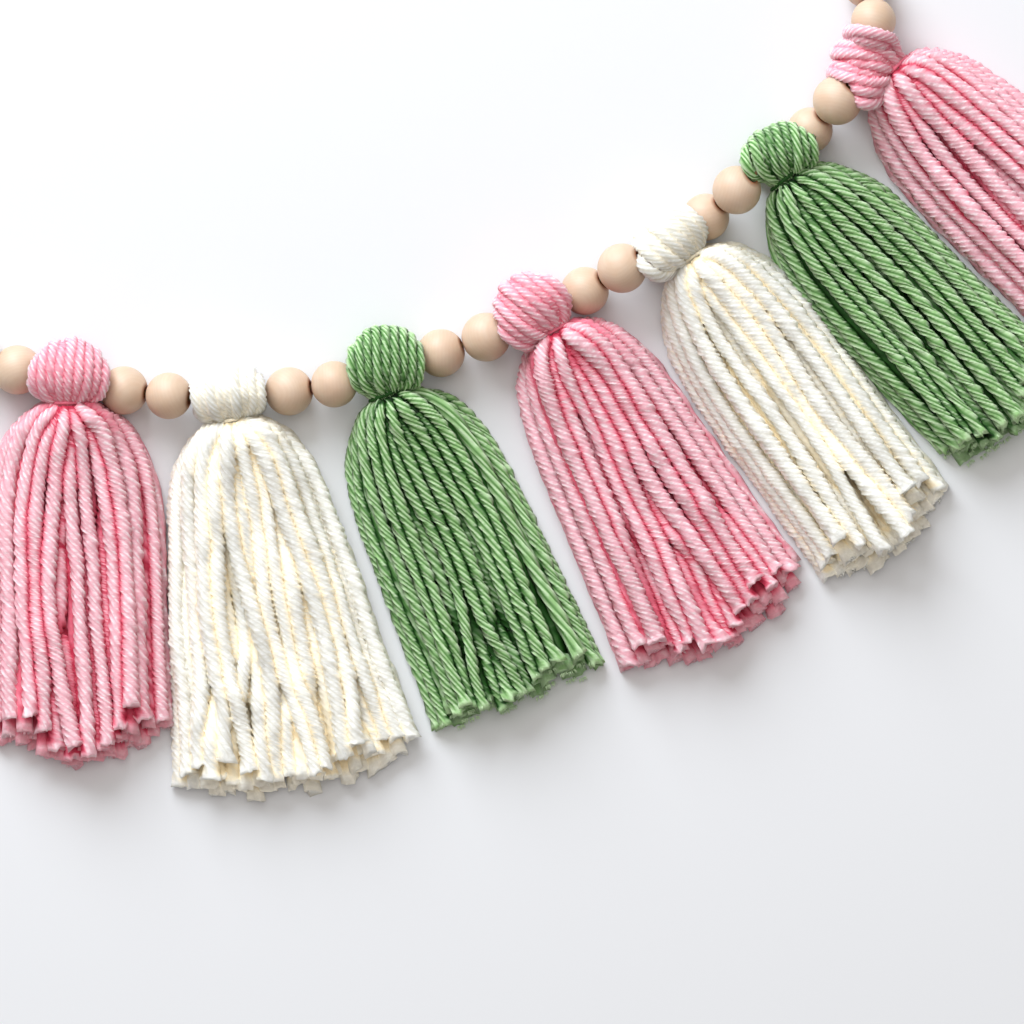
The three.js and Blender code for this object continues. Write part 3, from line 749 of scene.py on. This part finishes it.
# The heads. Each is the bundle's loops over the string, side by side along it and drawn together into the
# neck below. Pressed into a bun between two beads, they bulge over the crease. A second layer lies inside.
HEAD_HEIGHT = 11.8  # of the head's middle
HEAD_HALF_HEIGHT = 12.2
LOOP_STATIONS = 40
LOOP_START = math.radians(18)  # where a loop leaves the neck, as an angle round the string
LOOP_FULLNESS = 2.5  # 2 is an ellipse, more is boxier
ROUNDNESS = {"pink": 2.3, "cream": 4.0, "green": 2.2}  # of the bun's far side, seen from above
GATHERED = {"pink": 0.25, "cream": 0.1, "green": 0.08}  # how much the loops draw together on the far side
HEAD_SHADED_TONE = {"pink": 0.3, "cream": 0.0, "green": 0.6}  # the least of its loops' tones, lower on pink and cream heads: painted shade, darker than their skirts
HEAD_TOUCH_SHADE = {"pink": 0.6, "cream": 0.5, "green": 0.6}  # crevice value where loops touch: painted shade
OUTER_LOOPS = 9
INNER_LOOPS = 7
HEAD_FIBRES = 150
INNER_LAYER = 0.72  # size of the inner layer against the outer one


def laid_loops(tassel, yarn, layer, count, rng):
    """Loops round the string. Each is a superellipse in its own upright plane; those near the beads are
    flatter and reach less far, as on a ball, but stand higher on the side where the head lies beside a bead.
    All of them narrow to the neck and run on through it."""
    radius = yarn["loop_radius"]
    u = np.linspace(-1, 1, count) + rng.uniform(-0.25, 0.25, count) / count
    u = np.clip(u, -1, 1)[:, None]
    power = ROUNDNESS[tassel["yarn"]]
    far_reach = np.maximum((1 - np.abs(0.97 * u) ** power) ** (1 / power), tassel["end_reach"])
    far_reach = far_reach * (1 + rng.uniform(-0.03, 0.01, (count, 1)))
    lowered = np.abs(0.97 * u) if not tassel["beside_bead"] else np.maximum(u, 0)
    rise = np.maximum((1 - lowered ** 3) ** (1 / 3), 0.75) * (1 + rng.uniform(-0.05, 0.03, (count, 1)))
    if tassel["beside_bead"]:
        rise = rise * (1 + 0.17 * smooth(0.2, 0.9, -u))
    angle = np.linspace(LOOP_START, 2 * np.pi - LOOP_START, LOOP_STATIONS)[None]
    from_neck = np.degrees(np.minimum(angle, 2 * np.pi - angle))
    boxed = [np.sign(v) * np.abs(v) ** (2 / LOOP_FULLNESS) for v in (np.cos(angle), np.sin(angle))]
    along = -layer * boxed[0] * np.where(boxed[0] > 0, tassel["long"] - 0.6 * radius,
                                         (tassel["long"] - radius) * far_reach)
    height = (HEAD_HALF_HEIGHT - radius) * layer * rise * boxed[1]
    spread = 0.5 + 0.42 * smooth(16, 34, from_neck) + 0.08 * smooth(34, 70, from_neck)
    spread = spread * (1 - GATHERED[tassel["yarn"]] * smooth(95, 180, from_neck))
    across = u * (tassel["wide"] - radius) * layer * spread
    across = across + 0.5 * smooth(30, 60, from_neck) * wander(rng, count, LOOP_STATIONS, 4)
    to_head = np.array([[tassel["head_x"], tassel["head_y"], 0]]) * MM
    to_head = to_tassel(to_head, np.zeros(3), tassel["turn"])[0]
    way = unit(to_head)
    aside = np.array([way[1], -way[0], 0])
    middle = to_head + [0, 0, HEAD_HEIGHT]
    loops = middle + across[..., None] * aside + along[..., None] * way + height[..., None] * UPRIGHT
    half = NECK_RADIUS * 0.7 * layer
    lift = half * np.sqrt(1 - (0.9 * u) ** 2)
    ends = [np.concatenate([u * half, np.full_like(u, y), NECK_HEIGHT + up * lift], axis=1)[:, None]
            for y, up in ((-2.0, 1), (0.2, 1), (0.2, -1), (-2.0, -1))]
    return np.concatenate(ends[:2] + [loops] + ends[2:], axis=1)


def loop_thickness(yarn, lines):
    """Half a loop's thickness: packed at both ends, where it runs through the neck."""
    travelled = line_lengths(lines)
    from_end = np.minimum(travelled, travelled[:, -1:] - travelled)
    return yarn["loop_radius"] * (NECK_PACKED + (1 - NECK_PACKED) * smooth(0, 9, from_end)), from_end


def head_shapes(tassel, yarn, neck, balls, rng):
    """The outer loops, settled against each other and the beads, over the inner ones. A loop is flat on the
    outside of the head, so its yarn is described from the direction across the loops."""
    shapes = []
    across = unit(np.array([tassel["head_y"], -tassel["head_x"], 0]))
    wound = {**yarn, "flat": 1 / yarn["flat"], "pressed": 0.0}
    for layer, count, rounds in ((1.0, OUTER_LOOPS, 60), (INNER_LAYER, INNER_LOOPS, 8)):
        laid = along_line(laid_loops(tassel, yarn, layer, count, rng), LOOP_STATIONS)
        radius, from_end = loop_thickness(yarn, laid)
        held = smooth(1, 6, from_end)[..., None]

        def confine(moved):
            """Keeps loops out of the beads and between the table and the head's top."""
            moved = clear_of(moved, radius, balls, held)
            moved[..., 2] = np.clip(moved[..., 2], radius, HEAD_HEIGHT + HEAD_HALF_HEIGHT + 1)
            return moved

        loops = eased(laid, radius, held, rounds, pressed=0.78, pull=0.06, sink=0.0, confine=confine)
        if tassel["beside_bead"] and layer == 1.0:
            loops[0, :, 0] -= tassel["lean"] * smooth(16, 20.5, loops[0, :, 2])
        rings = int(line_lengths(loops)[:, -1].mean() / yarn["ring_every"])
        loops = along_line(loops, rings)
        radius = loop_thickness(yarn, loops)[0] * (1 + 0.07 * wander(rng, count, rings, 8))
        shapes += spun(loops, radius, wound, neck, tassel["turn"], rng, np.full(count, layer == 1.0),
                       fray=0.0, depth=HEAD_TOUCH_SHADE[tassel["yarn"]], tone=HEAD_SHADED_TONE[tassel["yarn"]],
                       upright=across)
        if layer == 1.0:
            placed = to_garland(loops, neck, tassel["turn"])
            shapes.append(stray_fibres(placed, radius * MM, HEAD_FIBRES, rng))
    return shapes


for n, tassel in enumerate(TASSELS):
    balls = [(middle, radius, -1 if b + 1 == tassel["beside_bead"] else 1)
             for b, middle, radius in beads_beside(n)]
    shapes = head_shapes(tassel, YARNS[tassel["yarn"]], necks[n], balls, np.random.default_rng(200 + n))
    make_yarn_piece(n, "head", joined(shapes), "tassel")

# The neck ties. One turn of thin yarn in each tassel's own colour, drawn tight in the crease under the head.
TIE_RADIUS = 0.65
TIE_RINGS = 110
TIE_TURNS = 1.06
TIE_YARN = {"plies": 2, "per_ply": 5, "pitch": 3.4, "relief": 0.2, "pressed": 0.0,
            "uneven": 0.05, "knobbly": 0.0, "flat": 1.0}

for n, tassel in enumerate(TASSELS):
    rng = np.random.default_rng(300 + n)
    t = np.linspace(0, 1, 60)
    angle = 2 * np.pi * (TIE_TURNS * t - 0.28)
    ring = NECK_RADIUS - 0.2
    coil = np.stack([ring * np.cos(angle), 0.9 * (t - 0.5), NECK_HEIGHT + ring * np.sin(angle)], axis=1)
    coil = to_garland(along_line(coil[None], TIE_RINGS), necks[n], tassel["turn"])
    way = to_garland(np.array([0, -1.0, 0]), np.zeros(3), tassel["turn"]) / MM
    thick = np.full((1, TIE_RINGS), TIE_RADIUS * MM)
    shape = plied(coil, thick, TIE_YARN, np.zeros(1), way, rng, fray=0.3)
    # The tie takes the crevice colours: painted shade in the crease under the head
    shape["values"]["crevice"] += 0.6
    make_yarn_piece(n, "neck_tie", shape, "tie")

# The skirts. The cut strands leave the neck sideways, arch over the shoulder and lie on the table, about
# four deep and crossing a little. They are cut by hand, so the hem is uneven and the ends fray.
SHOULDER_RUN = 38.0  # over which the skirt opens from the neck
SHOULDER_AT = 33.0
LANDING_RUN = 26.0  # over which the lowest strands come down to the table
FAN_START = 1.4
STRAND_HEAP = 950.0  # mm2 of yarn and air in a skirt's cross-section
CROWN_MOST = 19.5
PUFF = 1.8  # how much higher the strands stand just below the neck
PUFF_RUN = 9.0
NECK_SHARE = 0.85  # of the neck's radius that strand centres keep to
ROWS = 4
TOP_SHARE = 0.58  # width of the top row against the bottom one
STATIONS = 42
SETTLING_ROUNDS = 160
PARTINGS = 1.7  # gaps between clumps of strands, across half a skirt
PARTED = 0.05
HEM_RAGGED = 4.5
HEM_STEP = 4.5  # how much shorter the top row ends than the bottom one
CROSSING = 0.18  # how far strands wander across, against half the skirt's width
TOP_CROSSING = 0.09  # and how much further those of the top row do
THICK_OR_THIN = 0.12
CUT_FLARE = 0.09
SKIRT_FIBRES = 450
CUT_FIBRES = 14  # at each end


def opening(distance, run):
    """From 0 at the neck to 1, along a quarter ellipse."""
    left = 1 - np.clip((distance - FAN_START) / run, 0, 1)
    return np.sqrt(1 - left * left)


def between(tassel, distance, shoulder, hem):
    """A value that is one thing down to the shoulder and runs evenly to another at the hem."""
    down = np.clip((distance - SHOULDER_AT) / (tassel["length"] - SHOULDER_AT), 0, 1)
    return shoulder + (hem - shoulder) * down


def reach(tassel, side, distance):
    """How far the skirt reaches to its left or right at a distance from the neck."""
    full = between(tassel, distance, tassel["shoulder_" + side], tassel["hem_" + side])
    return NECK_RADIUS + (full - NECK_RADIUS) * opening(distance, SHOULDER_RUN)


def crown(tassel, distance):
    """How high the skirt stands at a distance from the neck."""
    width = between(tassel, distance, tassel["shoulder_left"] + tassel["shoulder_right"],
                    tassel["hem_left"] + tassel["hem_right"])
    full = np.minimum(CROWN_MOST, STRAND_HEAP / width) + PUFF * (1 - smooth(PUFF_RUN, 45, distance))
    neck_top = NECK_HEIGHT + NECK_RADIUS
    return neck_top + (full - neck_top) * opening(distance, PUFF_RUN)


def laid_strands(tassel, yarn, rng):
    """The strands before they settle. Each keeps its place across and up in the skirt's section, with some
    wandering, while the section turns from the neck's round bundle into a loaf of the full width."""
    radius = yarn["radius"]
    across, up = [], []
    width = (2 * tassel["shoulder_left"] + 2 * tassel["shoulder_right"]
             + tassel["hem_left"] + tassel["hem_right"]) / 3
    for row in range(ROWS):
        share = row / (ROWS - 1)
        count = int((width * (1 - (1 - TOP_SHARE) * share ** 1.6)) / ((1.62 + 0.23 * share) * radius))
        across.append(np.linspace(-1, 1, count) + rng.uniform(-0.5, 0.5, count) / count)
        up.append(np.full(count, share))
    across, up = np.clip(np.concatenate(across), -1, 1)[:, None], np.concatenate(up)[:, None]
    strands = len(across)
    hem = tassel["length"] * (1 + (tassel["corner"] - 1) * across ** 2) + 2.5
    hem = hem - HEM_STEP * up - rng.uniform(0, HEM_RAGGED, (strands, 1))
    t = np.linspace(0, 1, STATIONS)[None]
    distance = FAN_START + (hem - FAN_START) * t ** 1.6
    drift = smooth(8, 60, distance)
    parting = 2 * np.pi * (PARTINGS * across + rng.uniform(0, 1) + 0.3 * wander(rng, 1, STATIONS, 3))
    clumped = PARTED * drift * (1 - across ** 4) * np.sin(parting)
    wandering = wander(rng, strands, STATIONS, 3)
    a = across + (CROSSING + TOP_CROSSING * up) * drift * (1 - across ** 4) * wandering + clumped
    u = np.clip(up + 0.12 * drift * wander(rng, strands, STATIONS, 3), 0, 1)
    half = np.where(a < 0, reach(tassel, "left", distance), reach(tassel, "right", distance))
    rounded = np.sqrt(1 - (NECK_SHARE * (2 * u - 1)) ** 2)
    loaf = 1 - (1 - TOP_SHARE) * u ** 1.6
    opened = opening(distance, 12)
    thick = radius * (NECK_PACKED + (1 - NECK_PACKED) * opened)
    x = a * (half - thick) * (rounded + (loaf - rounded) * opened)
    low = thick + (NECK_HEIGHT - NECK_RADIUS) * (1 - opening(distance, LANDING_RUN))
    z = low + (crown(tassel, distance) - thick - low) * u
    return np.stack([x, -distance, z], axis=-1)


def strand_radius(yarn, thick, travelled):
    """Half a strand's thickness: packed at the neck, full from a little below it, and thick or thin."""
    return yarn["radius"] * thick * (NECK_PACKED + (1 - NECK_PACKED) * smooth(-4, 7, travelled))


def cover(lines, radius):
    """How far another strand lies over each point of the strands: 1 right under it, 0 where it is clear."""
    aside = np.abs(lines[:, None, :, 0] - lines[None, :, :, 0]) / radius[:, None]
    above = (lines[None, :, :, 2] - lines[:, None, :, 2]) / radius[:, None]
    return ((1 - smooth(0.6, 1.6, aside)) * smooth(0.4, 1.4, above)).max(axis=1)


def skirt_shapes(tassel, yarn, neck, balls, rng):
    """All the strands of a skirt as plied yarn, in the object's frame."""
    lines = along_line(laid_strands(tassel, yarn, rng), STATIONS)
    travelled = line_lengths(lines)
    thick = rng.uniform(0.82, 1.08, (len(lines), 1))
    radius = strand_radius(yarn, thick, travelled)
    held = smooth(0, 7, travelled)[..., None]

    def confine(moved):
        """Keeps strands out of the beads, inside the skirt's outline and on the table."""
        moved = clear_of(moved, radius, balls, held)
        down = -moved[..., 1]
        left, right = reach(tassel, "left", down), reach(tassel, "right", down)
        moved[..., 0] = np.clip(moved[..., 0], radius - left, right - radius)
        moved[..., 2] = np.maximum(moved[..., 2], radius * yarn["flat"])
        return moved

    lines = eased(lines, radius, held, SETTLING_ROUNDS, pressed=0.9, pull=0.03, sink=0.05, confine=confine)
    rings = int(line_lengths(lines)[:, -1].mean() / yarn["ring_every"])
    lines = along_line(lines, rings)
    travelled = line_lengths(lines)
    radius = strand_radius(yarn, thick, travelled)
    radius = radius * (1 + THICK_OR_THIN * wander(rng, len(lines), rings, 14))
    radius = radius * (1 + CUT_FLARE * smooth(-5, -1, travelled - travelled[:, -1:]))
    lines[..., 2] = np.maximum(lines[..., 2], radius * yarn["flat"])
    under = cover(lines, radius)
    shown = (under < 0.6).mean(axis=1) > 0.1
    down = -lines[..., 1]
    edge = np.where(lines[..., 0] < 0, reach(tassel, "left", down), reach(tassel, "right", down))
    # Less painted shade under strands near the skirt's edges
    under = under * (1 - smooth(0.55, 0.85, np.abs(lines[..., 0]) / edge))
    placed = to_garland(lines, neck, tassel["turn"])
    return spun(lines, radius, yarn, neck, tassel["turn"], rng, shown, fray=0.35, depth=1.0, under=under) + [
        stray_fibres(placed[shown], radius[shown] * MM, SKIRT_FIBRES, rng),
        cut_fibres(placed, radius * MM, CUT_FIBRES, rng)]


for n, tassel in enumerate(TASSELS):
    balls = [(middle, radius, 0) for _, middle, radius in beads_beside(n)]
    shapes = skirt_shapes(tassel, YARNS[tassel["yarn"]], necks[n], balls, np.random.default_rng(100 + n))
    make_yarn_piece(n, "skirt", joined(shapes), "tassel")

# The table top under the garland, painted matt white
FLOOR_SIZE = 6.0
FLOOR_LEVEL = -0.1 * MM
floor_mesh = bpy.data.meshes.new("table_top")
h = FLOOR_SIZE / 2
floor_mesh.from_pydata([(-h, -h, 0), (h, -h, 0), (h, h, 0), (-h, h, 0)], [], [(0, 1, 2, 3)])
floor = put_in_scene("table_top", floor_mesh)
floor.location.z = FLOOR_LEVEL
paint, _, paint_shader = new_material("matt_white_paint")
paint_shader.inputs["Base Color"].default_value = linear("#E9EBEF")
paint_shader.inputs["Roughness"].default_value = 0.6
floor_mesh.materials.append(paint)

# The camera looks straight down from far away, so that the picture is nearly a plan
PICTURE_MIDDLE = (-10.71 * MM, -51.66 * MM)
PICTURE_WIDTH = 334.37 * MM
CAMERA_HEIGHT = 6.0
BEAD_LEVEL = 8 * MM  # where the picture's width is measured
SENSOR_WIDTH = 36.0
camera = put_in_scene("camera", bpy.data.cameras.new("camera"))
camera.location = (*PICTURE_MIDDLE, CAMERA_HEIGHT)
camera.data.sensor_width = SENSOR_WIDTH
camera.data.lens = SENSOR_WIDTH * (CAMERA_HEIGHT - BEAD_LEVEL) / PICTURE_WIDTH
camera.data.clip_end = 100.0
bpy.context.scene.camera = camera

# The light of a bright room: a large window at the upper left, a weaker ceiling light and pale walls
WALL_COLOUR = (1.0, 0.93, 0.87, 1.0)
WALL_LIGHT = 0.35
AIM = np.array([0, -0.02, 0])
world = bpy.data.worlds.new("room")
world.use_nodes = True
world.node_tree.nodes["Background"].inputs["Color"].default_value = WALL_COLOUR
world.node_tree.nodes["Background"].inputs["Strength"].default_value = WALL_LIGHT
bpy.context.scene.world = world
bpy.context.scene.view_settings.view_transform = "Standard"


def area_light(name, place, size, power, colour):
    """A round soft light of a given width in metres and power in watts, aimed at the garland."""
    light = bpy.data.lights.new(name, "AREA")
    light.shape = "DISK"
    light.size = size
    light.energy = power
    light.color = colour
    lamp = put_in_scene(name, light)
    lamp.location = place
    lamp.rotation_euler = Vector(AIM - np.array(place)).to_track_quat("-Z", "Y").to_euler()


area_light("window", (-0.75, 1.48, 0.97), 1.45, 48.5, (0.91, 0.955, 1.0))
area_light("ceiling", (-0.1, 0.6, 2.2), 2.0, 15.0, (1.0, 0.98, 0.95))
